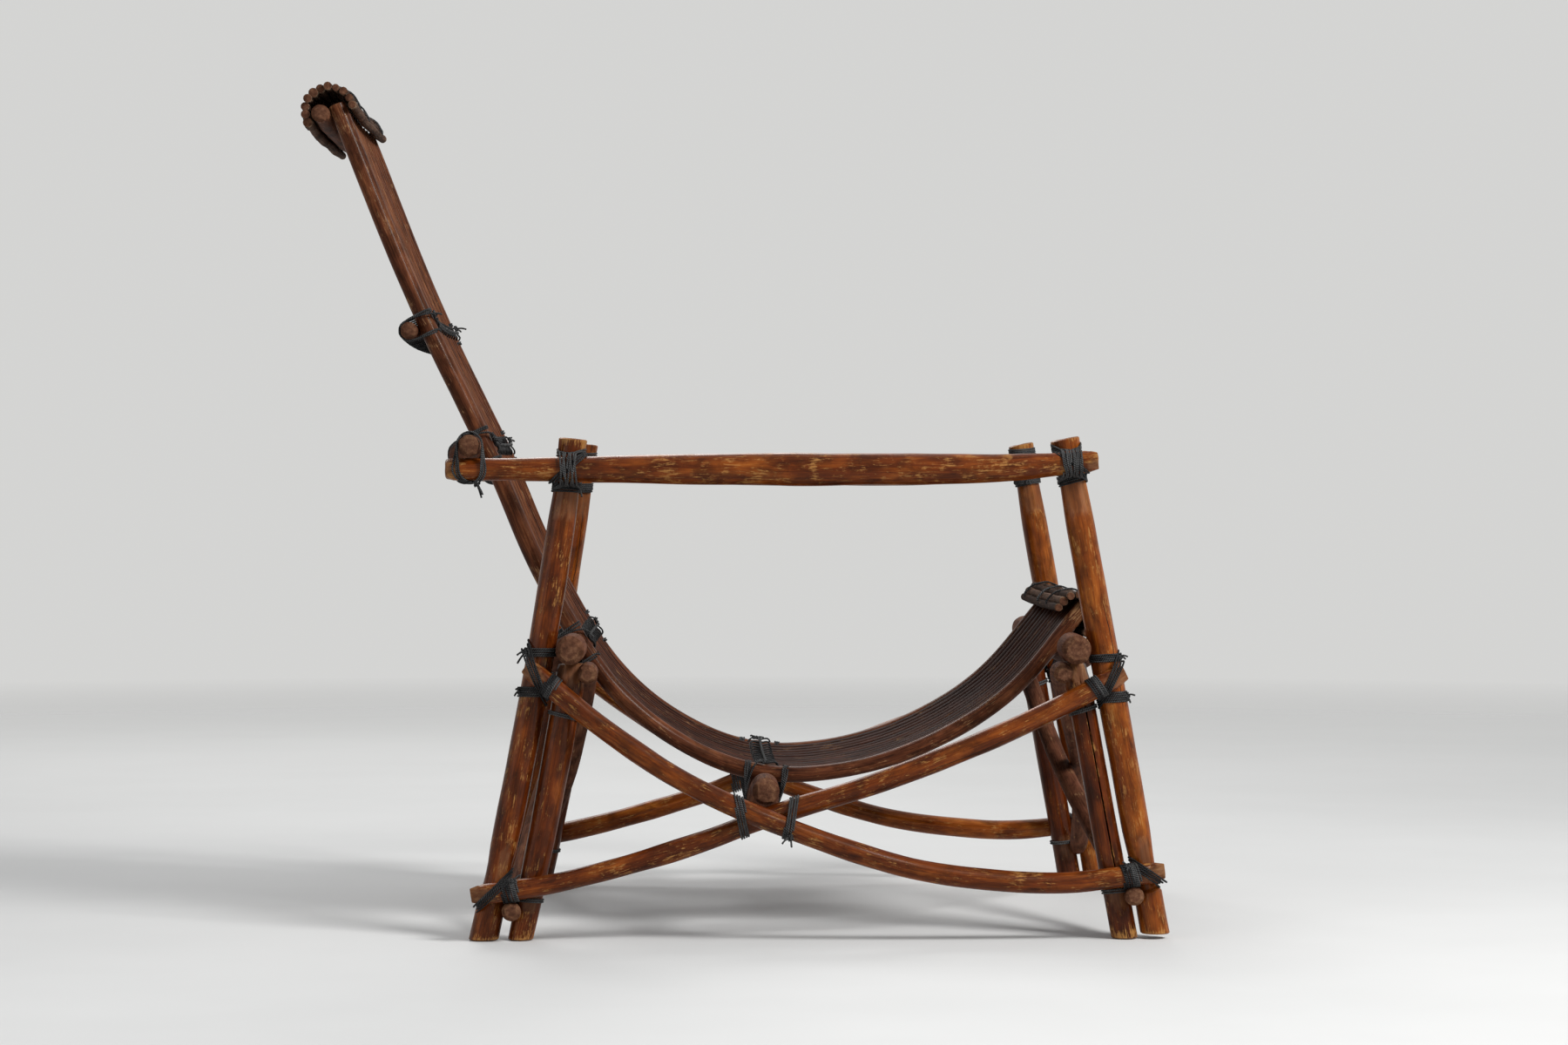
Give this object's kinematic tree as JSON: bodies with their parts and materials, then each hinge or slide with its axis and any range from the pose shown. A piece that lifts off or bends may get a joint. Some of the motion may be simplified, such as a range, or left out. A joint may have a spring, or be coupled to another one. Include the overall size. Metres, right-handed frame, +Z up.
{
  "type": "lounge chair",
  "caption": "Low lounge chair of round varnished poles lashed with cord, with a bent slatted seat and back in one sheet, straight armrests and crossed stretchers.",
  "frame": {"origin": "on the floor under the middle of the chair's box", "axes": "+X to the front of the chair, +Y to the far side in the picture, +Z up"},
  "size_m": [1.0038, 0.7586, 0.987],
  "materials": {
    "pole_wood": "varnished",
    "slat_wood": "varnished",
    "stick_wood": "worn",
    "cord": "twisted twine"
  },
  "bodies": {
    "root": {"front_leg_near": "pole_wood", "front_leg_far": "pole_wood", "rear_leg_near": "pole_wood", "rear_leg_far": "pole_wood", "front_post_near": "pole_wood", "front_post_far": "pole_wood", "rear_post_near": "pole_wood", "rear_post_far": "pole_wood", "armrest_near": "pole_wood", "armrest_far": "pole_wood", "falling_stretcher_near": "pole_wood", "falling_stretcher_far": "pole_wood", "rising_stretcher_near": "pole_wood", "rising_stretcher_far": "pole_wood", "front_brace_near": "pole_wood", "front_brace_far": "pole_wood", "rear_brace_near": "pole_wood", "rear_brace_far": "pole_wood", "side_rail_near": "pole_wood", "side_rail_far": "pole_wood", "head_crossbar": "pole_wood", "back_middle_crossbar": "pole_wood", "rear_arm_crossbar": "pole_wood", "rear_seat_crossbar": "pole_wood", "low_middle_crossbar": "pole_wood", "front_seat_crossbar": "pole_wood", "slat_01": "slat_wood", "slat_02": "slat_wood", "slat_03": "slat_wood", "slat_04": "slat_wood", "slat_05": "slat_wood", "slat_06": "slat_wood", "slat_07": "slat_wood", "slat_08": "slat_wood", "slat_09": "slat_wood", "slat_10": "slat_wood", "slat_11": "slat_wood", "head_roll": "stick_wood", "front_roll": "stick_wood", "front_lower_lashing_near": "cord", "front_lower_lashing_far": "cord", "rear_lower_lashing_near": "cord", "rear_lower_lashing_far": "cord", "front_upper_lashing_near": "cord", "front_upper_lashing_far": "cord", "rear_upper_lashing_near": "cord", "rear_upper_lashing_far": "cord", "arm_front_lashing_near": "cord", "arm_front_lashing_far": "cord", "arm_rear_lashing_near": "cord", "arm_rear_lashing_far": "cord", "arm_bar_lashing_near": "cord", "arm_bar_lashing_far": "cord", "crossing_lashing_near": "cord", "crossing_lashing_far": "cord", "back_middle_seizing": "cord", "rear_arm_seizing": "cord", "rear_seat_seizing": "cord", "low_middle_seizing": "cord"}
  },
  "joints": []
}
